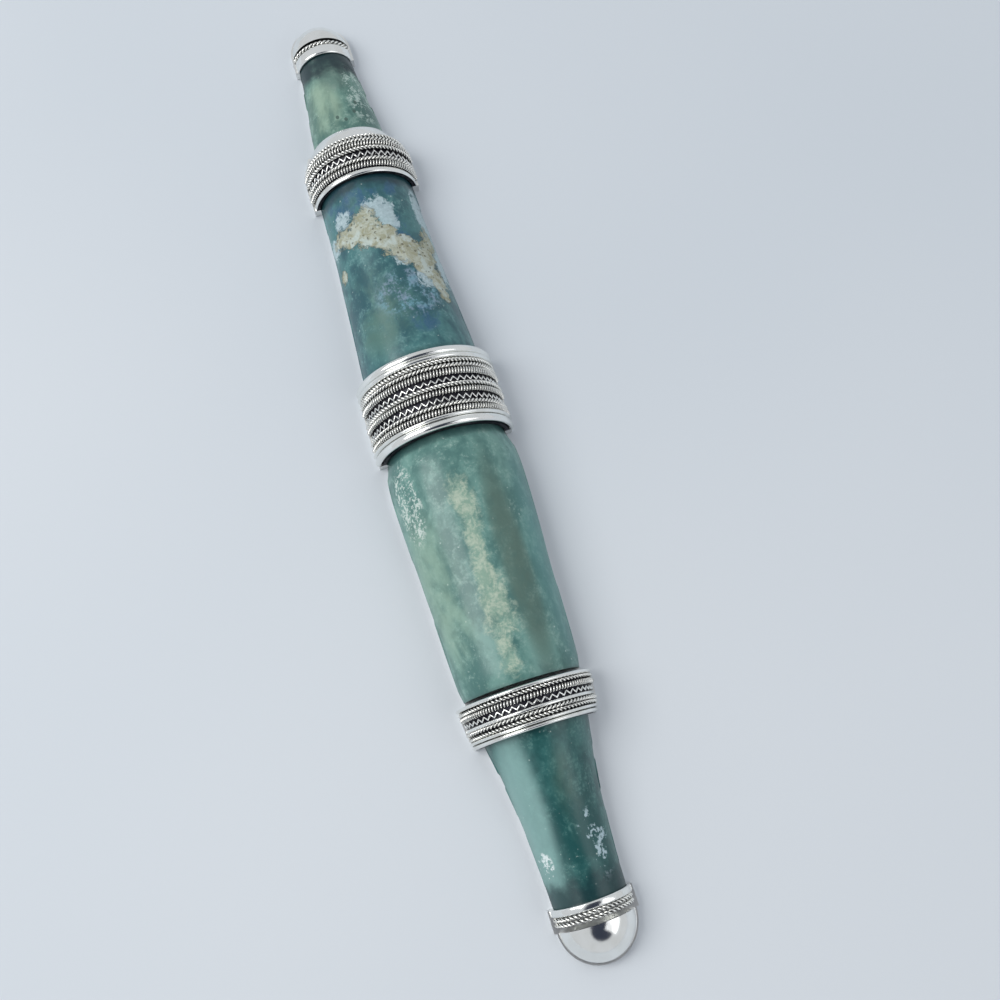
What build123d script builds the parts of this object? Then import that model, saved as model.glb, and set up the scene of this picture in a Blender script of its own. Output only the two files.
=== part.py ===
from build123d import *
import os

# A half-round mezuzah case lying on its flat back: four curved glass panels
# held on a silver back plate by three filigree bands and two domed end caps.
# Frame: +Z is the front (crown), +Y the upper end, the origin is the middle
# of the flat back. All sizes are in millimetres. Radii are measured from the
# long axis, which runs through the back face.

# Driving sizes of the whole case
overall_length = 200.0
back_thickness = 2.0
glass_wall = 1.4
silver_wall = 0.5
glass_clearance = 0.15     # silver edge to the glass it holds
wire_seat = 0.04           # wire to the sleeve that it is soldered on
row_gap = 0.05             # between neighbouring rows of wire
lap = 0.8                  # how far a glass end reaches under its silver edge
flange = 0.6               # turned-in silver edge that grips a glass end

# Stations of the silver edges along the case (Y)
upper_collar_edge = 89.8
upper_band_top = 68.4
upper_band_bottom = 55.8
middle_band_top = 14.1
middle_band_bottom = -2.1
lower_band_top = -51.2
lower_band_bottom = -59.0
lower_collar_edge = -88.8

# Upper band: plain flared neck above the rows, plain rim below them
neck_height = 3.3
foot_rim_width = 1.1
foot_rim_thickness = 0.45

# Domed ends
upper_dome_radius = 6.5
lower_dome_radius = 7.3
dome_wall = 0.8
upper_collar_radius = 6.5
lower_collar_radius = 7.8
upper_collar_height = 2.3
lower_collar_height = 1.3
cap_wire_radius = 0.42

# Wire rows: how far each stands off its sleeve, and its share of a band
twist_wire = 0.50
rope_depth = 0.52
rim_depth = 0.56
zigzag_thickness = 0.50
flat_wire_thickness = 0.55
plate_inset = 0.45         # back plate edge inside the outline of the glass

# Hatch: a sliding cover in a T-shaped channel of the back plate
door_wide = 10.4
door_narrow = 8.4
door_top_end = 24.0
door_bottom_end = -50.0
door_clearance = 0.1
door_face_depth = 0.05     # the door lies this far inside the back face
lip_thickness = 0.7
door_wide_thickness = 0.65
notch_length = 2.0
notch_width = 6.0
notch_depth = 0.3
opening_top = 22.0
opening_bottom = -48.0

# Rolled parchment
scroll_radius = 3.8
scroll_core_radius = 1.2
scroll_top = 20.0
scroll_bottom = -46.0
scroll_clearance = 0.3

# Keyhole slots for two screw heads
keyhole_radius = 2.5
keyhole_slot_radius = 1.3
keyhole_slot_length = 5.0
keyhole_places = (76.0, 40.0)

turn_axis = Axis((0, 0, 0), (0, -1, 0))
far = overall_length * 2


def silver_edge_radius(glass_radius):
    """Inner radius of a turned-in silver edge around glass of this radius."""
    return glass_radius + glass_clearance


def glass_outline(name):
    """(radius, station) points of a panel's outer face, from the top down."""
    if name == "glass_top":
        return [
            (5.95, upper_collar_edge + lap),
            (6.80, 81.5),
            (8.20, upper_band_top - lap),
        ]
    if name == "glass_upper":
        return [
            (10.10, upper_band_bottom + lap),
            (10.75, 37.0),
            (12.15, middle_band_top - lap),
        ]
    if name == "glass_lower":
        return [
            (12.15, middle_band_bottom + lap),
            (12.20, middle_band_bottom - 0.3),
            (13.10, middle_band_bottom - 3.6),
            (13.30, -12.0),
            (12.45, -32.0),
            (11.80, lower_band_top + 3.5),
            (11.35, lower_band_top - lap),
        ]
    return [
        (10.60, lower_band_bottom + lap),
        (9.35, -63.5),
        (8.20, -71.5),
        (7.40, -81.0),
        (7.10, lower_collar_edge - lap),
    ]


def inward(points, step):
    """The same outline moved towards the long axis."""
    return [(radius - step, station) for radius, station in points]


def area_inside(points, inner_points):
    """Closed area between a smooth outer outline and a smooth inner one."""
    outer = Spline(*points)
    inner = Spline(*inner_points)
    top = Line(outer @ 0, inner @ 0)
    bottom = Line(outer @ 1, inner @ 1)
    return make_face([outer, top, inner, bottom])


def half_turn(section):
    """Turn a section half round the long axis and seat it on the back plate."""
    shell = revolve(section, turn_axis, 180)
    below = Pos(0, 0, back_thickness / 2) * Box(far, far, back_thickness)
    return shell - below


def ring(radius, station, depth, half_width):
    """Half-round hoop of oval wire; depth is its half thickness."""
    section = Pos(radius, station) * Ellipse(depth, half_width)
    return half_turn(section)


def flat_ring(radius, station, thickness, width):
    """Half-round hoop of flat strip, its inner face at this radius."""
    section = Pos(radius + thickness / 2, station) * Rectangle(thickness, width)
    return half_turn(section)


def radius_on(points, station):
    """Outer radius of a straight-sided outline at one station."""
    for (r1, y1), (r2, y2) in zip(points, points[1:]):
        if y2 <= station <= y1:
            return r1 + (r2 - r1) * (y1 - station) / (y1 - y2)
    return points[-1][0]


def save(shape, node):
    export_step(shape, "parts/" + node + ".step")


# ---- glass panels ----------------------------------------------------------

glass_names = ("glass_top", "glass_upper", "glass_lower", "glass_bottom")


def glass_panel(name):
    outline = glass_outline(name)
    return half_turn(area_inside(outline, inward(outline, glass_wall)))


# ---- silver sleeves under the filigree --------------------------------------

def upper_band_outline():
    """Flared neck, then a barrel, then a narrow foot."""
    neck = silver_edge_radius(glass_outline("glass_top")[-1][0]) + silver_wall
    foot = silver_edge_radius(glass_outline("glass_upper")[0][0]) + silver_wall
    return [
        (neck, upper_band_top),
        (10.10, upper_band_top - 3.2),
        (10.80, upper_band_top - 5.8),
        (10.95, upper_band_top - 8.2),
        (10.75, upper_band_bottom + 2.4),
        (foot, upper_band_bottom + foot_rim_width),
        (foot, upper_band_bottom),
    ]


def middle_band_outline():
    """Nearly straight sleeve, a little wider at its lower third."""
    return [
        (12.95, middle_band_top),
        (13.10, middle_band_top - 3.0),
        (13.25, middle_band_top - 8.0),
        (13.20, middle_band_bottom + 3.0),
        (13.05, middle_band_bottom),
    ]


def lower_band_outline():
    """Low barrel that closes in to the narrow glass below it."""
    return [
        (12.15, lower_band_top),
        (12.10, lower_band_top - 2.0),
        (11.90, lower_band_top - 4.5),
        (11.35, lower_band_bottom + 0.9),
        (11.10, lower_band_bottom),
    ]


def sleeve(points, top_glass_radius, bottom_glass_radius):
    """Thin shell with both edges turned in to grip the glass."""
    outline = points + inward(points, silver_wall)[::-1]
    section = make_face(Polyline(*outline, close=True))
    ends = ((points[0], top_glass_radius, -1), (points[-1], bottom_glass_radius, 1))
    for (radius, station), glass_radius, way in ends:
        inner = silver_edge_radius(glass_radius)
        outer = radius - silver_wall / 2
        if outer - inner > silver_wall / 2:
            middle = station + way * flange / 2
            edge = Pos((inner + outer) / 2, middle) * Rectangle(outer - inner, flange)
            section = section + edge
    return half_turn(section)


# ---- rows of wire -------------------------------------------------------------

strip_thickness = {"zigzag": zigzag_thickness, "flat": flat_wire_thickness}
wire_depth = {"twist": twist_wire, "rope": rope_depth}


def lay_rows(outline, top, bottom, rows):
    """Lay rows of wire from top to bottom, edge to edge.

    Each row is (kind, share of the height). Returns kind -> list of hoops.
    """
    height = top - bottom - row_gap * (len(rows) - 1)
    whole = sum(share for kind, share in rows)
    hoops = {}
    station = top
    for kind, share in rows:
        half_width = height * share / whole / 2
        station -= half_width
        edges = (station - half_width, station, station + half_width)
        base = max(radius_on(outline, place) for place in edges) + wire_seat
        if kind in strip_thickness:
            hoop = flat_ring(base, station, strip_thickness[kind], 2 * half_width)
        else:
            depth = wire_depth.get(kind, rim_depth)
            middle = radius_on(outline, station) + wire_seat
            seat = max(middle, base - depth * 0.5)
            hoop = ring(seat + depth, station, depth, half_width)
        hoops.setdefault(kind, []).append(hoop)
        station -= half_width + row_gap
    return hoops


upper_rows = [
    ("twist", 0.9),
    ("twist", 0.9),
    ("rope", 1.3),
    ("twist", 0.9),
    ("zigzag", 1.5),
    ("twist", 0.9),
    ("rope", 1.4),
]

middle_rows = [
    ("heavy_top", 1.5),
    ("light_top", 1.0),
    ("twist", 1.0),
    ("twist", 0.9),
    ("rope", 1.6),
    ("zigzag", 1.3),
    ("twist", 1.0),
    ("rope", 1.3),
    ("zigzag", 1.4),
    ("twist", 0.9),
    ("rope", 1.3),
    ("light_bottom", 0.8),
    ("heavy_bottom", 1.6),
]

lower_rows = [
    ("rim_top", 0.8),
    ("twist", 0.8),
    ("rope", 1.2),
    ("zigzag", 1.2),
    ("flat", 0.7),
    ("twist", 0.8),
    ("twist", 0.8),
    ("rim_bottom", 0.7),
    ("rim_bottom", 0.8),
]


# ---- end caps ------------------------------------------------------------------

def dome(radius, way):
    """Thin quarter-ball shell; way is 1 at the upper end and -1 at the lower."""
    centre = way * (overall_length / 2 - radius)
    ball = Circle(radius) - Circle(radius - dome_wall)
    keep = Pos(radius / 2, way * radius / 2) * Rectangle(radius, radius)
    return half_turn(Pos(0, centre) * (ball & keep))


def collar(radius, glass_radius, edge, height, way):
    """Plain hoop around a glass end, open towards the dome."""
    inner = silver_edge_radius(glass_radius)
    section = Pos((inner + radius) / 2, edge + way * height / 2) * Rectangle(
        radius - inner, height
    )
    return half_turn(section)


# ---- back plate, hatch and scroll -----------------------------------------------

def plate_part(points):
    """Flat area of the back plate between the long axis and an outline."""
    outer = Spline(*inward(points, plate_inset))
    top = Line(outer @ 0, (0, points[0][1]))
    middle = Line((0, points[0][1]), (0, points[-1][1]))
    bottom = Line((0, points[-1][1]), outer @ 1)
    half = make_face([outer, top, middle, bottom])
    return half + mirror(half, Plane.YZ)


def strip_part(radius, top, bottom):
    """Rectangle of the back plate under a straight collar or band."""
    return Pos(0, (top + bottom) / 2) * Rectangle(2 * radius, top - bottom)


def back_plate():
    upper_centre = overall_length / 2 - upper_dome_radius
    lower_centre = lower_dome_radius - overall_length / 2
    area = Pos(0, upper_centre) * Circle(upper_dome_radius)
    area = area + Pos(0, lower_centre) * Circle(lower_dome_radius)
    area = area + strip_part(upper_collar_radius, upper_centre, upper_collar_edge)
    area = area + strip_part(lower_collar_radius, lower_collar_edge, lower_centre)
    for name in glass_names:
        area = area + plate_part(glass_outline(name))
    for outline in (upper_band_outline(), middle_band_outline(), lower_band_outline()):
        wide = inward(outline, -rim_depth)
        half = make_face(
            Polyline(*wide, (0, wide[-1][1]), (0, wide[0][1]), close=True)
        )
        area = area + half + mirror(half, Plane.YZ)
    plate = extrude(area, back_thickness)

    channel_top = door_top_end + door_clearance * 3
    channel_length = channel_top + far / 2
    channel_middle = channel_top - channel_length / 2
    mouth_height = lip_thickness
    wide_height = door_wide_thickness + 2 * door_clearance
    mouth = Pos(0, channel_middle, mouth_height / 2) * Box(
        door_narrow + 2 * door_clearance, channel_length, mouth_height
    )
    groove = Pos(0, channel_middle, lip_thickness + wide_height / 2) * Box(
        door_wide + 2 * door_clearance, channel_length, wide_height
    )
    opening = Pos(0, (opening_top + opening_bottom) / 2, back_thickness / 2) * Box(
        door_narrow, opening_top - opening_bottom, back_thickness * 2
    )
    plate = plate - mouth - groove - opening

    for station in keyhole_places:
        entry = Pos(0, station, back_thickness / 2) * Cylinder(
            keyhole_radius, back_thickness * 2
        )
        slot = Pos(0, station + keyhole_slot_length / 2, back_thickness / 2) * Box(
            2 * keyhole_slot_radius, keyhole_slot_length, back_thickness * 2
        )
        slot_end = Pos(0, station + keyhole_slot_length, back_thickness / 2) * Cylinder(
            keyhole_slot_radius, back_thickness * 2
        )
        plate = plate - entry - slot - slot_end
    return plate


def hatch_door():
    """T-shaped strip with a shallow finger notch near its lower end."""
    length = door_top_end - door_bottom_end
    middle = (door_top_end + door_bottom_end) / 2
    wide_bottom = lip_thickness + door_clearance
    wide = Pos(0, middle, wide_bottom + door_wide_thickness / 2) * Box(
        door_wide, length, door_wide_thickness
    )
    narrow_height = wide_bottom - door_face_depth
    narrow = Pos(0, middle, door_face_depth + narrow_height / 2) * Box(
        door_narrow, length, narrow_height
    )
    notch_place = door_bottom_end + 2 * notch_length
    notch = Pos(0, notch_place, door_face_depth + notch_depth / 2) * Box(
        notch_width, notch_length, notch_depth
    )
    return wide + narrow - notch


def scroll():
    """Rolled blank parchment, lying just above the door."""
    floor = lip_thickness + door_clearance + door_wide_thickness + scroll_clearance
    section = Circle(scroll_radius) - Circle(scroll_core_radius)
    roll = extrude(section, (scroll_top - scroll_bottom) / 2, both=True)
    roll = Rot(90, 0, 0) * roll
    return Pos(0, (scroll_top + scroll_bottom) / 2, floor + scroll_radius) * roll


# ---- write every node ---------------------------------------------------------------

os.makedirs("parts", exist_ok=True)

for glass_name in glass_names:
    save(glass_panel(glass_name), glass_name)

top_glass = glass_outline("glass_top")
upper_glass = glass_outline("glass_upper")
lower_glass = glass_outline("glass_lower")
bottom_glass = glass_outline("glass_bottom")

save(
    sleeve(upper_band_outline(), top_glass[-1][0], upper_glass[0][0]),
    "upper_band_sleeve",
)
save(
    sleeve(middle_band_outline(), upper_glass[-1][0], lower_glass[0][0]),
    "middle_band_sleeve",
)
save(
    sleeve(lower_band_outline(), lower_glass[-1][0], bottom_glass[0][0]),
    "lower_band_sleeve",
)

upper_rows_top = upper_band_top - neck_height
upper_rows_bottom = upper_band_bottom + foot_rim_width + row_gap
upper_hoops = lay_rows(upper_band_outline(), upper_rows_top, upper_rows_bottom, upper_rows)
middle_hoops = lay_rows(
    middle_band_outline(), middle_band_top, middle_band_bottom, middle_rows
)
lower_hoops = lay_rows(lower_band_outline(), lower_band_top, lower_band_bottom, lower_rows)

upper_foot = upper_band_outline()[-1][0]
foot_rim_middle = upper_band_bottom + foot_rim_width / 2
upper_rim = flat_ring(
    upper_foot + wire_seat, foot_rim_middle, foot_rim_thickness, foot_rim_width
)
save(upper_rim, "upper_band_rim")
save(Compound(children=upper_hoops["twist"]), "upper_band_twists")
save(Compound(children=upper_hoops["rope"]), "upper_band_ropes")
save(Compound(children=upper_hoops["zigzag"]), "upper_band_zigzag")

save(
    Compound(children=middle_hoops["heavy_top"] + middle_hoops["light_top"]),
    "middle_band_top_rims",
)
save(
    Compound(children=middle_hoops["heavy_bottom"] + middle_hoops["light_bottom"]),
    "middle_band_bottom_rims",
)
save(Compound(children=middle_hoops["twist"]), "middle_band_twists")
save(Compound(children=middle_hoops["rope"]), "middle_band_ropes")
save(Compound(children=middle_hoops["zigzag"]), "middle_band_zigzags")

save(Compound(children=lower_hoops["rim_top"]), "lower_band_top_rim")
save(Compound(children=lower_hoops["rim_bottom"]), "lower_band_bottom_rims")
save(Compound(children=lower_hoops["twist"]), "lower_band_twists")
save(Compound(children=lower_hoops["rope"]), "lower_band_ropes")
save(Compound(children=lower_hoops["zigzag"]), "lower_band_zigzag")
save(Compound(children=lower_hoops["flat"]), "lower_band_flat_wire")

upper_cap_collar = collar(
    upper_collar_radius, top_glass[0][0], upper_collar_edge, upper_collar_height, 1
)
save(upper_cap_collar, "upper_cap_collar")
save(dome(upper_dome_radius, 1), "upper_cap_dome")
upper_wire_station = upper_collar_edge + upper_collar_height + cap_wire_radius + row_gap
upper_wire = ring(
    upper_collar_radius - cap_wire_radius / 2,
    upper_wire_station,
    cap_wire_radius,
    cap_wire_radius,
)
save(upper_wire, "upper_cap_twist")

lower_cap_collar = collar(
    lower_collar_radius, bottom_glass[-1][0], lower_collar_edge, lower_collar_height, -1
)
save(lower_cap_collar, "lower_cap_collar")
save(dome(lower_dome_radius, -1), "lower_cap_dome")
lower_wires = []
for turn in range(2):
    station = lower_collar_edge - lower_collar_height
    station -= (2 * turn + 1) * cap_wire_radius + (turn + 1) * row_gap
    lower_wires.append(
        ring(lower_dome_radius, station, cap_wire_radius, cap_wire_radius)
    )
save(Compound(children=lower_wires), "lower_cap_twists")

save(back_plate(), "back_plate")
save(hatch_door(), "hatch_door")
save(scroll(), "scroll")
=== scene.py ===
import math

import bmesh
import bpy
from mathutils import Matrix, Vector


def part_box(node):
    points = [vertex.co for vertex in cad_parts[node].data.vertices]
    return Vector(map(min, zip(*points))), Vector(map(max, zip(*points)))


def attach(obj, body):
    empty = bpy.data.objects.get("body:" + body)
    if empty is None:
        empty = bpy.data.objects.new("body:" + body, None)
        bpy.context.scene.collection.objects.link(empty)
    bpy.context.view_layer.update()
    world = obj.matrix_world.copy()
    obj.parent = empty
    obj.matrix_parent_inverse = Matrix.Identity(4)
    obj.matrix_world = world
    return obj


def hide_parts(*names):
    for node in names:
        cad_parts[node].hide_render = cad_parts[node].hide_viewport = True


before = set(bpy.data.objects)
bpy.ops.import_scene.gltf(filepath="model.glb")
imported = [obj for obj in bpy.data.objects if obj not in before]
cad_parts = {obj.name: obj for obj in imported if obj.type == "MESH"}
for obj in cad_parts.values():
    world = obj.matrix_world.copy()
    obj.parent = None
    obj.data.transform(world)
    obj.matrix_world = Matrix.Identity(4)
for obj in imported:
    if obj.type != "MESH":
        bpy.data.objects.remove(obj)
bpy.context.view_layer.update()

mm = 0.001
bpy.ops.object.select_all(action="DESELECT")

# ---------------------------------------------------------------------------
# Table, camera and light. The case lies on a pale blue-grey table under one
# big soft lamp, with a dark ceiling patch that the polished silver mirrors.
# ---------------------------------------------------------------------------


class Shade:
    """A number in a material. Python maths on it adds the Math nodes."""

    def __init__(self, finish, socket):
        self.finish = finish
        self.socket = socket

    def maths(self, operation, *values):
        raw = [value.socket if isinstance(value, Shade) else value for value in values]
        made = self.finish.add("ShaderNodeMath", {"operation": operation}, dict(enumerate(raw)))
        return Shade(self.finish, made.outputs[0])

    def __add__(self, other):
        return self.maths("ADD", self, other)

    def __radd__(self, other):
        return self.maths("ADD", other, self)

    def __sub__(self, other):
        return self.maths("SUBTRACT", self, other)

    def __rsub__(self, other):
        return self.maths("SUBTRACT", other, self)

    def __mul__(self, other):
        return self.maths("MULTIPLY", self, other)

    def __rmul__(self, other):
        return self.maths("MULTIPLY", other, self)

    def __truediv__(self, other):
        return self.maths("DIVIDE", self, other)

    def at_most(self, other):
        return self.maths("MINIMUM", self, other)

    def at_least(self, other):
        return self.maths("MAXIMUM", self, other)

    def step(self, low, high):
        """0 below low, 1 above high, smooth between."""
        made = self.finish.add(
            "ShaderNodeMapRange",
            {"interpolation_type": "SMOOTHSTEP"},
            {"Value": self.socket, "From Min": low, "From Max": high},
        )
        return Shade(self.finish, made.outputs[0])


class Finish:
    """A node material built on the Principled shader."""

    def __init__(self, name, **constants):
        self.material = bpy.data.materials.new(name)
        self.material.use_nodes = True
        self.tree = self.material.node_tree
        self.shader = self.tree.nodes["Principled BSDF"]
        for socket, value in constants.items():
            self.shader.inputs[socket.replace("_", " ")].default_value = value
        place = self.add("ShaderNodeTexCoord")
        self.place = place.outputs["Object"]
        axes = self.add("ShaderNodeSeparateXYZ", {}, {0: self.place})
        self.x, self.y, self.z = (Shade(self, axes.outputs[i]) / mm for i in range(3))

    def add(self, kind, settings=None, inputs=None):
        node = self.tree.nodes.new(kind)
        for key, value in (settings or {}).items():
            setattr(node, key, value)
        for key, value in (inputs or {}).items():
            if isinstance(value, Shade):
                value = value.socket
            if isinstance(value, bpy.types.NodeSocket):
                self.tree.links.new(value, node.inputs[key])
            else:
                node.inputs[key].default_value = value
        return node

    def noise(
        self, size, detail=4.0, roughness=0.55, twist=0.0, stretch=(1, 1, 1), shift=0.0
    ):
        """Cloudy noise, 0 to 1; size is the width of a cloud in millimetres."""
        moved = self.add(
            "ShaderNodeMapping",
            {},
            {0: self.place, "Location": (shift, shift, 0), "Scale": stretch},
        )
        made = self.add(
            "ShaderNodeTexNoise",
            {"normalize": True},
            {
                "Vector": moved.outputs[0],
                "Scale": 1 / (size * mm),
                "Detail": detail,
                "Roughness": roughness,
                "Distortion": twist,
            },
        )
        return Shade(self, made.outputs[0])

    def cells(self, size):
        """Distance to the nearest of scattered points, in cells of this size."""
        made = self.add(
            "ShaderNodeTexVoronoi", {}, {"Vector": self.place, "Scale": 1 / (size * mm)}
        )
        return Shade(self, made.outputs[0])

    def spot(self, centre, reach):
        """1 at a place on the piece, falling to 0 at its reach along X, Y and Z (mm)."""
        far = 0.0
        for axis, middle, length in zip((self.x, self.y, self.z), centre, reach):
            offset = (axis - middle) / length
            far = offset * offset + far
        return (1.0 - far).at_least(0.0)

    def blend(self, under, over, amount):
        """One colour over another."""
        raw = [
            colour.outputs[2] if isinstance(colour, bpy.types.Node) else (*colour, 1.0)
            for colour in (under, over)
        ]
        return self.add(
            "ShaderNodeMix", {"data_type": "RGBA"}, {0: amount, 6: raw[0], 7: raw[1]}
        )

    def set(self, socket, value):
        if isinstance(value, Shade):
            value = value.socket
        if isinstance(value, bpy.types.Node):
            value = value.outputs[2]
        self.tree.links.new(value, self.shader.inputs[socket])

    def bump(self, height, depth, strength=1.0):
        made = self.add(
            "ShaderNodeBump", {}, {"Height": height, "Distance": depth * mm, "Strength": strength}
        )
        self.tree.links.new(made.outputs[0], self.shader.inputs["Normal"])


table_width = 3.0
bpy.ops.mesh.primitive_plane_add(size=table_width, location=(0, 0, -0.02 * mm))
table = bpy.context.object
table.name = "table_top"
table_finish = Finish("pale_table", Roughness=0.6)
drift = table_finish.noise(260, 2.0).step(0.3, 0.7)
grain = table_finish.noise(0.9, 3.0)
table_colour = table_finish.blend((0.600, 0.650, 0.700), (0.665, 0.705, 0.745), drift)
table_finish.set("Base Color", table_colour)
table_finish.bump(grain, 0.03, 0.25)
table.data.materials.append(table_finish.material)

camera_place = Vector((-16.302, -65.972, 193.923)) * mm
camera_turn = (
    Matrix.Rotation(0.258, 4, "X")
    @ Matrix.Rotation(-0.116, 4, "Y")
    @ Matrix.Rotation(-0.287, 4, "Z")
)
bpy.ops.object.camera_add()
camera = bpy.context.object
camera.matrix_world = Matrix.Translation(camera_place) @ camera_turn
camera.data.sensor_width = 36.0
camera.data.lens = 37.15
camera.data.clip_start = 0.01
bpy.context.scene.camera = camera


def softbox(name, place, size, power, tint):
    """A square lamp that faces the middle of the case."""
    bpy.ops.object.light_add(type="AREA", location=place)
    lamp = bpy.context.object
    lamp.name = name
    lamp.data.size = size
    lamp.data.energy = power
    lamp.data.color = tint
    lamp.rotation_euler = (-Vector(place)).to_track_quat("-Z", "Y").to_euler()


softbox("window_lamp", (-0.75, 0.25, 0.85), 0.7, 8.0, (1.0, 0.99, 0.97))
softbox("fill_lamp", (0.7, -0.5, 0.9), 0.8, 2.0, (0.97, 0.98, 1.0))

world = bpy.data.worlds.new("soft_room")
bpy.context.scene.world = world
world.use_nodes = True
room = world.node_tree
sky = room.nodes["Background"]
facing = room.nodes.new("ShaderNodeTexCoord")
overhead = room.nodes.new("ShaderNodeVectorMath")
overhead.operation = "DOT_PRODUCT"
overhead.inputs[1].default_value = Vector((0.05, -0.42, 0.9)).normalized()
room.links.new(facing.outputs["Generated"], overhead.inputs[0])
patch = room.nodes.new("ShaderNodeValToRGB")
patch.color_ramp.elements[0].position = 0.85
patch.color_ramp.elements[0].color = (0.86, 0.89, 0.93, 1.0)
patch.color_ramp.elements[1].position = 0.89
patch.color_ramp.elements[1].color = (0.05, 0.06, 0.09, 1.0)
room.links.new(overhead.outputs["Value"], patch.inputs[0])
room.links.new(patch.outputs[0], sky.inputs["Color"])
sky.inputs["Strength"].default_value = 0.72
bpy.context.scene.view_settings.view_transform = "Standard"

# ---------------------------------------------------------------------------
# Glass panels. Four curved pieces of old blown glass, ground to half-round
# sections, with their ends under the silver edges. Buried glass weathers to
# a satin skin with a pale crust, flakes and iridescent patches.
# ---------------------------------------------------------------------------
plate_top = 2.0
glass_wall = 1.4
spin_steps = 96


def shown(name):
    """The active object becomes a finished piece that rides on the case."""
    piece = bpy.context.object
    piece.name = name
    piece.data.name = name
    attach(piece, "case")
    return piece


def half_turned(loop, steps=spin_steps):
    """Turn a closed (radius, station) loop half round the case and seat it."""
    bpy.ops.object.select_all(action="DESELECT")
    bpy.ops.mesh.primitive_circle_add(vertices=len(loop), radius=mm)
    piece = bpy.context.object
    for vertex, (radius, station) in zip(piece.data.vertices, loop):
        vertex.co = (radius * mm, station * mm, 0.0)
    bpy.ops.object.mode_set(mode="EDIT")
    bpy.ops.mesh.select_all(action="SELECT")
    bpy.ops.mesh.spin(steps=steps, angle=math.pi, center=(0, 0, 0), axis=(0, 1, 0))
    bpy.ops.mesh.select_all(action="SELECT")
    bpy.ops.mesh.remove_doubles(threshold=0.001 * mm)
    bpy.ops.mesh.bisect(
        plane_co=(0, 0, plate_top * mm), plane_no=(0, 0, 1), clear_inner=True, use_fill=True
    )
    bpy.ops.mesh.select_all(action="SELECT")
    bpy.ops.mesh.normals_make_consistent(inside=False)
    bpy.ops.object.mode_set(mode="OBJECT")
    bpy.ops.object.shade_smooth_by_angle(angle=math.radians(35))
    return piece


def smooth_line(points, count):
    """Evenly spaced (radius, station) points on a smooth curve through a few."""
    stations = [station for radius, station in points]
    found = []
    for step in range(count + 1):
        station = stations[0] + (stations[-1] - stations[0]) * step / count
        place = 0
        while place < len(points) - 2 and station < stations[place + 1]:
            place += 1
        before = points[max(place - 1, 0)]
        start = points[place]
        end = points[place + 1]
        after = points[min(place + 2, len(points) - 1)]
        span = end[1] - start[1]
        share = (station - start[1]) / span
        slope_in = (end[0] - before[0]) / (end[1] - before[1]) * span
        slope_out = (after[0] - start[0]) / (after[1] - start[1]) * span
        cube, square = share**3, share**2
        radius = (
            (2 * cube - 3 * square + 1) * start[0]
            + (cube - 2 * square + share) * slope_in
            + (3 * square - 2 * cube) * end[0]
            + (cube - square) * slope_out
        )
        found.append((radius, station))
    return found


def glass_panel(name, points):
    """Curved glass wall with ground round ends and a slight hand-blown wave."""
    outer = smooth_line(points, 60)
    inner = [(radius - glass_wall, station) for radius, station in outer]
    piece = half_turned(outer + inner[::-1])
    for vertex in piece.data.vertices:
        x, y, z = (value / mm for value in vertex.co)
        around = math.atan2(z, x)
        wave = 0.05 * math.sin(0.21 * y + 2.0 * around) + 0.04 * math.sin(0.47 * y - 3.0 * around)
        radius = math.hypot(x, z)
        shrink = (radius - 0.09 + wave) / radius
        if z > plate_top + 0.01:
            vertex.co.x *= shrink
            vertex.co.z = max(vertex.co.z * shrink, plate_top * mm)
    piece = shown(name)
    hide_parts(name.replace("_panel", ""))
    return piece


def weathered(name, deep, clear, pale, shift):
    """Base for old glass: clouds of two greens, fine pale specks, satin skin."""
    finish = Finish(name, IOR=1.5, Coat_Roughness=0.2, Specular_IOR_Level=0.3)
    clouds = finish.noise(7.5, 5.0, 0.6, 0.4, (1, 0.6, 1), shift)
    blots = finish.noise(2.6, 5.0, 0.62, 0.3, (1, 0.8, 1), shift + 0.05)
    fine = finish.noise(0.55, 3.0, 0.6, 0.0, (1, 1, 1), shift)
    tone = (clouds * 0.6 + blots * 0.4).step(0.41, 0.60)
    colour = finish.blend(deep, clear, tone)
    haze = (blots * 0.55 + fine * 0.45).step(0.50, 0.66) * 0.5
    colour = finish.blend(colour, pale, haze)
    specks = (0.16 - finish.cells(1.5)).step(0.0, 0.10) * fine.step(0.5, 0.62)
    colour = finish.blend(colour, (0.62, 0.72, 0.68), specks * 0.6)
    return finish, colour, clouds, blots, fine


def edge_shadow(finish, colour, station, reach, dark, amount=0.85):
    """Painted shade: the glass is darker beside a silver edge, where the edge overhangs it."""
    offset = (finish.y - station) / (reach * 1.3)
    wander = finish.noise(3.5, 3.0)
    near = (1.0 - offset * offset + (wander - 0.5) * 1.2).step(0.15, 0.95)
    return finish.blend(colour, dark, near * amount)


top_points = [(5.95, 90.6), (6.8, 81.5), (8.2, 67.6)]
top_glass = glass_panel("glass_top_panel", top_points)
finish, colour, clouds, blots, fine = weathered(
    "glass_top_finish", (0.055, 0.145, 0.125), (0.165, 0.310, 0.260), (0.32, 0.44, 0.38), 0.11
)
green = finish.spot((-3.5, 76.0, 6.0), (5.0, 9.0, 6.0)).step(0.0, 0.8)
colour = finish.blend(colour, (0.300, 0.420, 0.315), green * clouds.step(0.3, 0.6) * 0.75)
grey = finish.spot((0.5, 84.0, 6.0), (4.0, 6.0, 5.0)).step(0.0, 0.9)
colour = finish.blend(colour, (0.085, 0.135, 0.115), grey * 0.5)
flaking = finish.spot((4.6, 79.0, 5.0), (3.2, 10.0, 5.0)).step(0.0, 0.6)
flakes = flaking * (blots * 0.5 + fine * 0.5).step(0.48, 0.56)
colour = finish.blend(colour, (0.50, 0.62, 0.58), flakes * 0.8)
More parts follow.
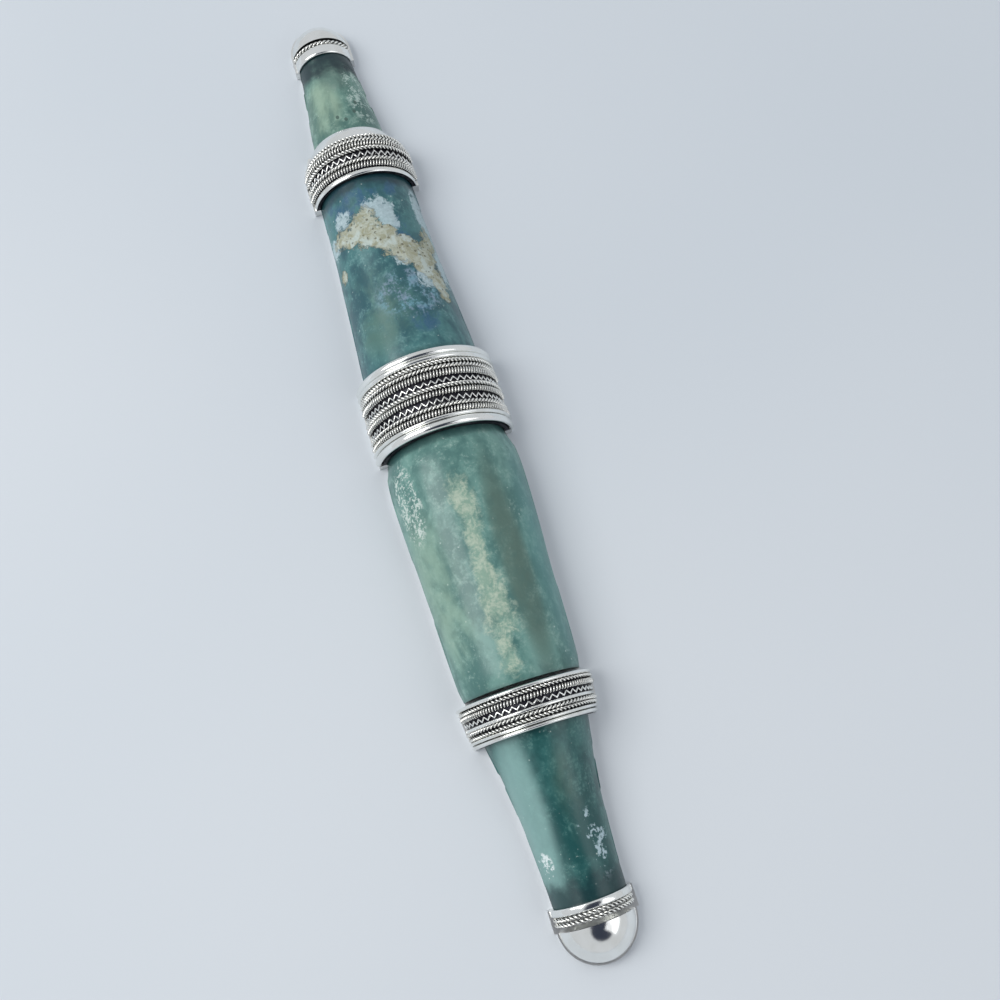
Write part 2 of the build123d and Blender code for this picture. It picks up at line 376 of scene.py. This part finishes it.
for dot_place in ((-1.2, 72.6, 7.8), (0.4, 71.6, 8.0), (2.6, 73.5, 7.4), (3.4, 76.0, 6.6)):
    dot = finish.spot(dot_place, (0.45, 0.6, 2.0)).step(0.0, 0.6)
    colour = finish.blend(colour, (0.035, 0.075, 0.06), dot * 0.8)
colour = edge_shadow(finish, colour, 89.8, 5.5, (0.004, 0.022, 0.030), 0.96)
finish.set("Base Color", colour)
finish.set("Roughness", 0.34 + flakes * 0.3 + fine * 0.12)
finish.set("Coat Weight", 0.32 - flakes * 0.3)
finish.bump(blots * 0.4 + fine * 0.3 + flakes * 0.8, 0.12, 0.45)
top_glass.data.materials.append(finish.material)

upper_points = [(10.1, 56.6), (10.75, 37.0), (12.15, 13.3)]
upper_glass = glass_panel("glass_upper_panel", upper_points)
finish, colour, clouds, blots, fine = weathered(
    "glass_upper_finish", (0.018, 0.088, 0.108), (0.060, 0.190, 0.195), (0.17, 0.33, 0.33), 0.27
)
for blue_place, blue_reach in (
    ((-5.5, 51.5, 8.5), (8.5, 5.5, 7.0)),
    ((3.5, 53.0, 9.6), (5.0, 3.0, 5.0)),
    ((4.2, 41.5, 9.6), (2.6, 5.0, 4.0)),
    ((3.0, 21.5, 11.0), (4.0, 3.5, 4.0)),
):
    blue = finish.spot(blue_place, blue_reach).step(0.0, 0.7) * blots.step(0.42, 0.62)
    colour = finish.blend(colour, (0.020, 0.085, 0.175), blue * 0.8)
ground = finish.spot((-5.0, 26.0, 9.0), (9.0, 12.0, 9.0)).step(0.0, 0.9)
colour = finish.blend(colour, (0.075, 0.165, 0.135), ground * clouds.step(0.38, 0.62) * 0.8)
rainbow = finish.noise(4.0, 3.0, 0.5, 1.2, (1, 1, 1), 0.4)
shimmer_spot = finish.spot((2.0, 28.0, 10.5), (8.0, 6.5, 6.0)).step(0.0, 0.7)
shimmer = shimmer_spot * (blots * 0.6 + fine * 0.4).step(0.45, 0.6)
violet = finish.blend((0.16, 0.34, 0.44), (0.24, 0.31, 0.43), rainbow.step(0.4, 0.6))
colour = finish.blend(colour, violet, shimmer * 0.75)

pale_field = 0.0
for pale_place, pale_reach in (
    ((-6.6, 48.0, 7.6), (2.6, 3.5, 5.0)),
    ((0.6, 48.6, 10.0), (4.6, 3.4, 5.0)),
    ((2.2, 44.5, 10.2), (3.0, 4.2, 5.0)),
    ((9.2, 47.5, 4.6), (2.2, 9.0, 5.5)),
    ((9.8, 36.0, 4.4), (2.0, 10.0, 5.5)),
    ((6.2, 31.0, 8.8), (3.4, 4.6, 5.0)),
    ((-9.4, 44.5, 4.6), (1.8, 3.4, 4.5)),
    ((3.0, 36.0, 10.2), (4.0, 3.0, 5.0)),
):
    pale_field = finish.spot(pale_place, pale_reach) + pale_field
ragged = finish.noise(1.5, 6.0, 0.72, 0.8, (1, 1, 1), 0.9)
pale_edge = (pale_field * 0.45 + ragged * 0.95 + blots * 0.35 + fine * 0.15).step(0.92, 1.08)
pale_flake = pale_edge * (0.45 + fine * 0.75).at_most(1.0)
colour = finish.blend(colour, (0.52, 0.64, 0.68), pale_flake * 0.85)
crust_field = 0.0
for crust_place, crust_reach in (
    ((-7.4, 44.8, 7.2), (4.6, 3.6, 5.5)),
    ((-2.4, 47.0, 10.2), (3.8, 3.6, 5.5)),
    ((-2.4, 42.6, 10.2), (6.0, 4.0, 5.5)),
    ((1.4, 39.4, 10.4), (4.6, 4.8, 5.5)),
    ((5.2, 36.6, 9.6), (4.6, 5.4, 5.5)),
    ((7.4, 33.0, 8.2), (3.6, 5.4, 5.5)),
    ((8.8, 40.0, 6.0), (2.2, 5.6, 5.0)),
    ((8.6, 28.0, 7.4), (2.2, 4.5, 4.5)),
    ((-9.4, 37.6, 5.0), (1.3, 2.4, 3.4)),
):
    crust_field = finish.spot(crust_place, crust_reach) + crust_field
crust = (crust_field * 0.5 + ragged * 0.95 + blots * 0.35 + fine * 0.15).step(1.00, 1.14)
pits = (0.30 - finish.cells(1.1)).step(0.0, 0.14) * fine.step(0.40, 0.55)
stain = ragged.step(0.42, 0.60)
sandy = finish.blend((0.47, 0.50, 0.42), (0.33, 0.33, 0.23), stain)
sandy = finish.blend(sandy, (0.52, 0.60, 0.57), blots.step(0.52, 0.62) * 0.8)
sandy = finish.blend(sandy, (0.13, 0.12, 0.075), pits * 0.8)
colour = finish.blend(colour, sandy, crust * (0.78 + fine * 0.3).at_most(1.0))
colour = edge_shadow(finish, colour, 55.8, 2.6, (0.006, 0.030, 0.040), 0.85)
colour = edge_shadow(finish, colour, 14.1, 1.4, (0.02, 0.07, 0.07), 0.5)
finish.set("Base Color", colour)
finish.set("Roughness", 0.30 + crust * 0.45 + pale_flake * 0.2 + fine * 0.12)
finish.set("Coat Weight", (0.32 - crust * 0.3 - pale_flake * 0.2).at_least(0.0))
finish.bump(blots * 0.25 + fine * 0.2 + crust * (1.6 + fine * 0.6 - pits * 1.2), 0.16, 0.7)
upper_glass.data.materials.append(finish.material)

lower_points = [
    (12.15, -1.3), (12.2, -2.4), (13.1, -5.7), (13.3, -12.0),
    (12.45, -32.0), (11.8, -47.7), (11.35, -50.4),
]
lower_glass = glass_panel("glass_lower_panel", lower_points)
finish, colour, clouds, blots, fine = weathered(
    "glass_lower_finish", (0.065, 0.170, 0.155), (0.145, 0.300, 0.265), (0.30, 0.44, 0.39), 0.43
)
haze = finish.spot((-9.0, -30.0, 7.0), (7.0, 20.0, 8.0)).step(0.0, 1.0)
colour = finish.blend(colour, (0.300, 0.430, 0.330), haze * clouds.step(0.3, 0.6) * 0.6)
teal = finish.spot((11.0, -28.0, 5.0), (6.0, 30.0, 8.0)).step(0.0, 1.0)
colour = finish.blend(colour, (0.085, 0.270, 0.265), teal * 0.6)
# Painted dark reflection: a dark band along the crown, right of the middle.
painted_dark_band = finish.spot((4.9, -29.0, 11.0), (3.6, 27.0, 6.0)).step(0.05, 0.9)
colour = finish.blend(colour, (0.085, 0.150, 0.120), painted_dark_band * clouds.step(0.22, 0.55) * 0.85)
streak_field = 0.0
for streak_place, streak_reach in (
    ((-1.2, -14.5, 12.8), (3.6, 5.0, 6.0)),
    ((-0.8, -20.0, 12.5), (3.0, 6.0, 6.0)),
    ((-1.2, -27.0, 12.4), (2.6, 6.0, 6.0)),
    ((-1.0, -33.0, 12.2), (3.8, 5.5, 6.0)),
    ((-0.8, -39.0, 12.0), (4.8, 6.0, 6.0)),
    ((-1.6, -46.5, 11.8), (2.6, 5.0, 6.0)),
):
    streak_field = finish.spot(streak_place, streak_reach) + streak_field
ragged = finish.noise(2.0, 6.0, 0.68, 0.6, (1, 0.8, 1), 0.7)
streak = (streak_field * 0.45 + ragged * 0.9 + blots * 0.25 + fine * 0.15).step(0.78, 1.16)
milk = (ragged * 0.6 + fine * 0.4).step(0.42, 0.62)
milky = finish.blend((0.27, 0.40, 0.31), (0.50, 0.58, 0.46), milk)
colour = finish.blend(colour, milky, streak * 0.8)
spatter = finish.spot((-10.4, -13.0, 7.5), (3.2, 9.0, 5.0)).step(0.0, 0.5)
spatter = spatter * (blots * 0.4 + fine * 0.6).step(0.50, 0.56)
colour = finish.blend(colour, (0.60, 0.68, 0.64), spatter * 0.8)
colour = edge_shadow(finish, colour, -2.1, 1.8, (0.020, 0.060, 0.060), 0.75)
colour = edge_shadow(finish, colour, -51.2, 1.2, (0.06, 0.13, 0.12), 0.5)
finish.set("Base Color", colour)
finish.set("Roughness", 0.36 + streak * 0.16 + spatter * 0.3 + fine * 0.1)
finish.set("Coat Weight", (0.32 - streak * 0.2 - spatter * 0.2).at_least(0.0))
finish.bump(blots * 0.3 + fine * 0.25 + streak * 0.5 + spatter * 0.8, 0.12, 0.5)
lower_glass.data.materials.append(finish.material)

bottom_points = [(10.25, -58.2), (9.35, -63.5), (8.2, -71.5), (7.4, -81.0), (7.1, -89.6)]
bottom_glass = glass_panel("glass_bottom_panel", bottom_points)
finish, colour, clouds, blots, fine = weathered(
    "glass_bottom_finish", (0.012, 0.078, 0.078), (0.040, 0.145, 0.138), (0.12, 0.27, 0.25), 0.59
)
# Painted reflection: the glass is lighter down the left side.
painted_reflection = finish.spot((-6.0, -73.0, 5.5), (3.8, 26.0, 8.0)).step(0.0, 0.9)
colour = finish.blend(colour, (0.26, 0.44, 0.42), painted_reflection * (0.55 + clouds * 0.35))
# Painted dark reflection along the crown, right of the middle.
painted_dark_reflection = finish.spot((1.8, -72.0, 8.0), (3.6, 12.0, 6.0)).step(0.0, 1.0)
colour = finish.blend(colour, (0.070, 0.120, 0.095), painted_dark_reflection * clouds.step(0.35, 0.65) * 0.6)
flaking = finish.spot((3.5, -80.5, 6.6), (3.2, 7.0, 5.0)).step(0.0, 0.5)
flakes = flaking * (blots * 0.7 + fine * 0.3).step(0.53, 0.58)
colour = finish.blend(colour, (0.50, 0.64, 0.70), flakes * 0.85)
spots = finish.spot((-5.9, -81.5, 4.6), (1.6, 2.6, 3.0)).step(0.0, 0.5)
spots = spots * (blots * 0.5 + fine * 0.5).step(0.50, 0.56)
colour = finish.blend(colour, (0.72, 0.80, 0.80), spots * 0.9)
colour = edge_shadow(finish, colour, -88.8, 4.5, (0.004, 0.030, 0.036), 0.85)
finish.set("Base Color", colour)
finish.set("Roughness", 0.30 + flakes * 0.3 + fine * 0.1)
finish.set("Coat Weight", 0.38 - flakes * 0.3)
finish.bump(blots * 0.3 + fine * 0.25 + flakes * 0.8, 0.12, 0.45)
bottom_glass.data.materials.append(finish.material)

# ---------------------------------------------------------------------------
# Silver sleeves. Thin rolled sterling sheet under each filigree band, with
# turned-in edges. The hollows between the wires are darkened by oxidation.
# ---------------------------------------------------------------------------


def silver(name, tone, roughness, dull):
    """Sterling silver: faint haze, fine polishing lines and small dents."""
    made = Finish(name, Metallic=1.0)
    haze = made.noise(3.0, 3.0, 0.5)
    lines = made.noise(0.35, 3.0, 0.6, 0.0, (1, 9, 1))
    made.set("Base Color", made.blend(tone, dull, haze.step(0.35, 0.75) * 0.6))
    made.set("Roughness", roughness + haze * 0.08 + lines * 0.05)
    made.bump(haze * 0.8 + lines * 0.15, 0.06, 0.35)
    return made.material


polished_silver = silver("polished_silver_finish", (0.90, 0.91, 0.89), 0.07, (0.80, 0.80, 0.76))
plate_silver = silver("plate_silver_finish", (0.80, 0.81, 0.80), 0.28, (0.68, 0.68, 0.66))

oxidised = Finish("oxidised_silver_finish", Metallic=0.85)
tarnish = oxidised.noise(1.6, 4.0)
black_silver = oxidised.blend(
    (0.020, 0.020, 0.030), (0.075, 0.075, 0.085), tarnish.step(0.4, 0.7)
)
oxidised.set("Base Color", black_silver)
oxidised.set("Roughness", 0.42 + tarnish * 0.2)
oxidised.bump(tarnish, 0.05, 0.5)


def dress(node, material):
    """Give a CAD node's own faces a finish."""
    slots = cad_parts[node].material_slots
    for entry in slots:
        entry.link = "DATA"
        entry.material = material
    if not slots:
        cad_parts[node].data.materials.append(material)


for node in ("middle_band_sleeve", "lower_band_sleeve"):
    dress(node, oxidised.material)

neck_split = 65.1
upper_sleeve = [
    (8.85, 68.4), (9.50, 67.2), (10.10, 65.2), (10.80, 62.6),
    (10.95, 60.2), (10.75, 57.2), (10.75, 55.8),
]
outer = smooth_line(upper_sleeve, 40)
inner = [(radius - 0.45, station) for radius, station in outer]
half_turned(outer + inner[::-1])
upper_band_sleeve = shown("upper_band_shell")
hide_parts("upper_band_sleeve")
upper_band_sleeve.data.materials.append(polished_silver)
upper_band_sleeve.data.materials.append(oxidised.material)
for face in upper_band_sleeve.data.polygons:
    face.material_index = 0 if face.center.y > neck_split * mm else 1

# ---------------------------------------------------------------------------
# Filigree wires. Each row is drawn silver wire soldered round the sleeve:
# two strands twisted together, a close coil that reads as cross bars, or a
# single wire bent to a zigzag over the dark sheet.
# ---------------------------------------------------------------------------


def wire(points, thickness, sides=1):
    """One round wire through the points, as a mesh with closed ends."""
    curve = bpy.data.curves.new("wire", "CURVE")
    curve.dimensions = "3D"
    curve.bevel_depth = thickness * mm
    curve.bevel_resolution = sides
    curve.use_fill_caps = True
    spline = curve.splines.new("POLY")
    spline.points.add(len(points) - 1)
    for point, place in zip(spline.points, points):
        point.co = (*(value * mm for value in place), 1.0)
    holder = bpy.data.objects.new("wire", curve)
    bpy.context.collection.objects.link(holder)
    bpy.ops.object.select_all(action="DESELECT")
    holder.select_set(True)
    bpy.context.view_layer.objects.active = holder
    bpy.ops.object.convert(target="MESH")
    return bpy.context.object


def mark_relief(piece, radius, station, depth, half_width):
    """Store how far each point lies from the middle of its row, 0 to 1."""
    relief = piece.data.attributes.new("relief", "FLOAT", "POINT")
    for place, vertex in enumerate(piece.data.vertices):
        x, y, z = (value / mm for value in vertex.co)
        outward = (math.hypot(x, z) - radius) / depth
        relief.data[place].value = math.hypot(outward, (y - station) / half_width)
    return piece


def around_case(radius, station, count, offset):
    """Points round the half hoop; offset gives (outward, along) at each turn share."""
    start = math.asin((plate_top + 0.25) / radius)
    points = []
    for step in range(count + 1):
        share = step / count
        angle = start + (math.pi - 2 * start) * share
        outward, along = offset(share)
        reach = radius + outward
        points.append((-reach * math.cos(angle), station + along, reach * math.sin(angle)))
    return points


def arc_length(radius):
    return (math.pi - 2 * math.asin(plate_top / radius)) * radius


def twisted_row(radius, station, depth, half_width, hand=1, pitch=1.7):
    """Two strands twisted together."""
    strand = min(depth, half_width) * 0.48
    swing_out = depth - strand
    swing_along = half_width - strand
    turns = round(arc_length(radius) / pitch)
    made = []
    for phase in (0.0, math.pi):

        def offset(share, phase=phase):
            turn = hand * 2 * math.pi * turns * share + phase
            return swing_out * math.cos(turn), swing_along * math.sin(turn)

        strand_wire = wire(around_case(radius, station, turns * 10, offset), strand)
        made.append(mark_relief(strand_wire, radius, station, depth, half_width))
    return made


def coiled_row(radius, station, depth, half_width, pitch=0.62):
    """A close coil of fine wire, which shows as short cross bars."""
    strand = 0.18
    swing_out = depth - strand
    swing_along = half_width - strand
    turns = round(arc_length(radius) / pitch)

    def offset(share):
        turn = 2 * math.pi * turns * share
        return swing_out * math.cos(turn), swing_along * math.sin(turn)

    coil = wire(around_case(radius, station, turns * 10, offset), strand, 0)
    return [mark_relief(coil, radius, station, depth, half_width)]


def zigzag_row(radius, station, depth, half_width, pitch=1.5):
    """One fine wire bent to and fro."""
    strand = 0.19
    swing = half_width - strand
    teeth = round(arc_length(radius) / pitch)

    def offset(share):
        saw = abs(2 * ((share * teeth) % 1.0) - 1) * 2 - 1
        return 0.0, swing * saw

    bent = wire(around_case(radius, station, teeth * 4, offset), strand)
    return [mark_relief(bent, radius, station, strand, strand)]


def solder(wires, name, nodes, material):
    """Join rows of wire into one piece that stands for its CAD hoops."""
    bpy.ops.object.select_all(action="DESELECT")
    for part in wires:
        part.select_set(True)
    bpy.context.view_layer.objects.active = wires[0]
    bpy.ops.object.join()
    bpy.ops.object.shade_smooth()
    piece = shown(name)
    piece.data.materials.clear()
    piece.data.materials.append(material)
    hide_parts(*nodes)
    return piece


def hoops(node):
    """(radius, station, depth, half width) of each hoop in a CAD node, top first."""
    spots = {}
    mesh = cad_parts[node].data
    welded = bmesh.new()
    welded.from_mesh(mesh)
    bmesh.ops.remove_doubles(welded, verts=welded.verts, dist=0.001 * mm)
    seen = set()
    for first in welded.verts:
        if first in seen:
            continue
        group, queue = [], [first]
        seen.add(first)
        while queue:
            vertex = queue.pop()
            group.append(vertex.co.copy())
            for edge in vertex.link_edges:
                other = edge.other_vert(vertex)
                if other not in seen:
                    seen.add(other)
                    queue.append(other)
        reach = [math.hypot(place.x, place.z) / mm for place in group]
        along = [place.y / mm for place in group]
        station = (min(along) + max(along)) / 2
        spots[round(station, 3)] = (
            (min(reach) + max(reach)) / 2,
            station,
            (max(reach) - min(reach)) / 2,
            (max(along) - min(along)) / 2,
        )
    welded.free()
    return [spots[key] for key in sorted(spots, reverse=True)]


filigree = Finish("filigree_silver_finish", Metallic=1.0)
height = filigree.add("ShaderNodeAttribute", {"attribute_name": "relief"})
relief = Shade(filigree, height.outputs["Fac"])
tarnish = filigree.noise(1.1, 3.0)
raised = (relief + (tarnish - 0.5) * 0.6).step(0.38, 0.80)
filigree.set("Base Color", filigree.blend((0.15, 0.15, 0.15), (0.88, 0.88, 0.84), raised))
filigree.set("Roughness", 0.46 - raised * 0.26)
filigree.bump(tarnish, 0.03, 0.3)
filigree_silver = filigree.material

for band in ("upper_band", "middle_band", "lower_band"):
    zigzag_node = band + ("_zigzags" if band == "middle_band" else "_zigzag")
    twists = []
    for row, hoop in enumerate(hoops(band + "_twists")):
        twists += twisted_row(*hoop, 1 if row % 2 else -1)
    solder(twists, band + "_twisted_wires", [band + "_twists"], filigree_silver)
    coils = []
    for hoop in hoops(band + "_ropes"):
        coils += coiled_row(*hoop)
    solder(coils, band + "_coiled_wires", [band + "_ropes"], filigree_silver)
    zigzags = []
    for hoop in hoops(zigzag_node):
        zigzags += zigzag_row(*hoop)
    solder(zigzags, band + "_zigzag_wire", [zigzag_node], polished_silver)

# ---------------------------------------------------------------------------
# Plain rims. Polished round mouldings that edge the bands, soldered on, and
# one flat wire in the lower band.
# ---------------------------------------------------------------------------
for node in (
    "upper_band_rim", "middle_band_top_rims", "middle_band_bottom_rims", "lower_band_top_rim",
    "lower_band_bottom_rims", "lower_band_flat_wire",
):
    rims = []
    for radius, station, depth, half_width in hoops(node):
        loop = []
        for corner in range(24):
            turn = 2 * math.pi * corner / 24
            loop.append((radius + depth * math.cos(turn), station + half_width * math.sin(turn)))
        rims.append(half_turned(loop))
    solder(rims, node + "_moulding", [node], polished_silver)
    bpy.ops.object.shade_smooth_by_angle(angle=math.radians(35))

# ---------------------------------------------------------------------------
# End caps. Each is a plain collar round the glass end, twisted wire soldered
# at its edge, and a thin dome raised from sheet and polished bright.
# ---------------------------------------------------------------------------
half_length = 100.0
dome_wall = 0.7
dome_steps = 24
soft_edge = 0.35
collar_pitch = 1.9
for end, way, ball_radius, outer_radius, inner_radius in (
    ("upper_cap", 1, 6.5, 6.5, 6.1),
    ("lower_cap", -1, 7.3, 7.8, 7.25),
):
    centre = way * (half_length - ball_radius)
    shell = []
    for reach, order in (
        (ball_radius, range(dome_steps + 1)),
        (ball_radius - dome_wall, range(dome_steps, -1, -1)),
    ):
        for step in order:
            turn = math.pi / 2 * step / dome_steps
            radius = max(reach * math.cos(turn), 0.001)
            shell.append((radius, centre + way * reach * math.sin(turn)))
    half_turned(shell)
    ball = shown(end + "_ball")
    ball.data.materials.append(polished_silver)
    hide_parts(end + "_dome")

    low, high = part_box(end + "_collar")
    bottom, top = low.y / mm, high.y / mm
    collar_loop = [(inner_radius, bottom), (inner_radius, top)]
    for corner, first_turn in ((top - soft_edge, 90), (bottom + soft_edge, 0)):
        for step in range(7):
            turn = math.radians(first_turn - 15 * step)
            radius = outer_radius - soft_edge + soft_edge * math.cos(turn)
            collar_loop.append((radius, corner + soft_edge * math.sin(turn)))
    half_turned(collar_loop)
    ring = shown(end + "_hoop")
    ring.data.materials.append(polished_silver)
    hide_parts(end + "_collar")

    wire_node = end + ("_twist" if way > 0 else "_twists")
    strands = []
    for hoop in hoops(wire_node):
        strands += twisted_row(*hoop, way, collar_pitch)
    solder(strands, end + "_twisted_wire", [wire_node], filigree_silver)

# ---------------------------------------------------------------------------
# Back plate, hatch and scroll. Flat satin silver with a T-shaped channel, the
# strip that slides in it, and a blank roll of parchment behind the glass.
# ---------------------------------------------------------------------------
dress("back_plate", plate_silver)
dress("hatch_door", plate_silver)

parchment = Finish("parchment_finish", Roughness=0.75)
fibre = parchment.noise(1.2, 5.0, 0.6, 0.0, (1, 0.25, 1))
blotch = parchment.noise(9.0, 3.0)
skin = parchment.blend((0.66, 0.56, 0.38), (0.80, 0.72, 0.54), blotch.step(0.35, 0.65))
aged_skin = parchment.blend(skin, (0.52, 0.42, 0.26), fibre.step(0.55, 0.75) * 0.4)
parchment.set("Base Color", aged_skin)
parchment.bump(fibre, 0.05, 0.5)

low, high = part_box("scroll")
roll_length = (high.y - low.y) / mm
roll_middle = Vector(((low.x + high.x) / 2, (low.y + high.y) / 2, (low.z + high.z) / 2))
turns_of_roll = 4.5
steps_per_turn = 32
roll_core = 1.25
roll_outside = 3.65
sheet = 0.22
end_gap = 0.1
roll_steps = int(turns_of_roll * steps_per_turn)
spiral = []
for step in range(roll_steps + 1):
    turn = 2 * math.pi * step / steps_per_turn
    reach = roll_core + (roll_outside - roll_core) * step / roll_steps
    spiral.append((reach * math.cos(turn), reach * math.sin(turn)))
bpy.ops.object.select_all(action="DESELECT")
bpy.ops.mesh.primitive_grid_add(x_subdivisions=len(spiral) - 1, y_subdivisions=2, size=2 * mm)
roll = bpy.context.object
columns = len(spiral)
for place, vertex in enumerate(roll.data.vertices):
    column, line = place % columns, place // columns
    x, z = spiral[column]
    along = (line / 2 - 0.5) * (roll_length - end_gap)
    vertex.co = (roll_middle.x + x * mm, roll_middle.y + along * mm, roll_middle.z + z * mm)
thicken = roll.modifiers.new("thickness", "SOLIDIFY")
thicken.thickness = sheet * mm
thicken.offset = 0.0
bpy.ops.object.modifier_apply(modifier="thickness")
bpy.ops.object.shade_smooth_by_angle(angle=math.radians(40))
roll = shown("parchment_roll")
roll.data.materials.append(parchment.material)
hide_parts("scroll")
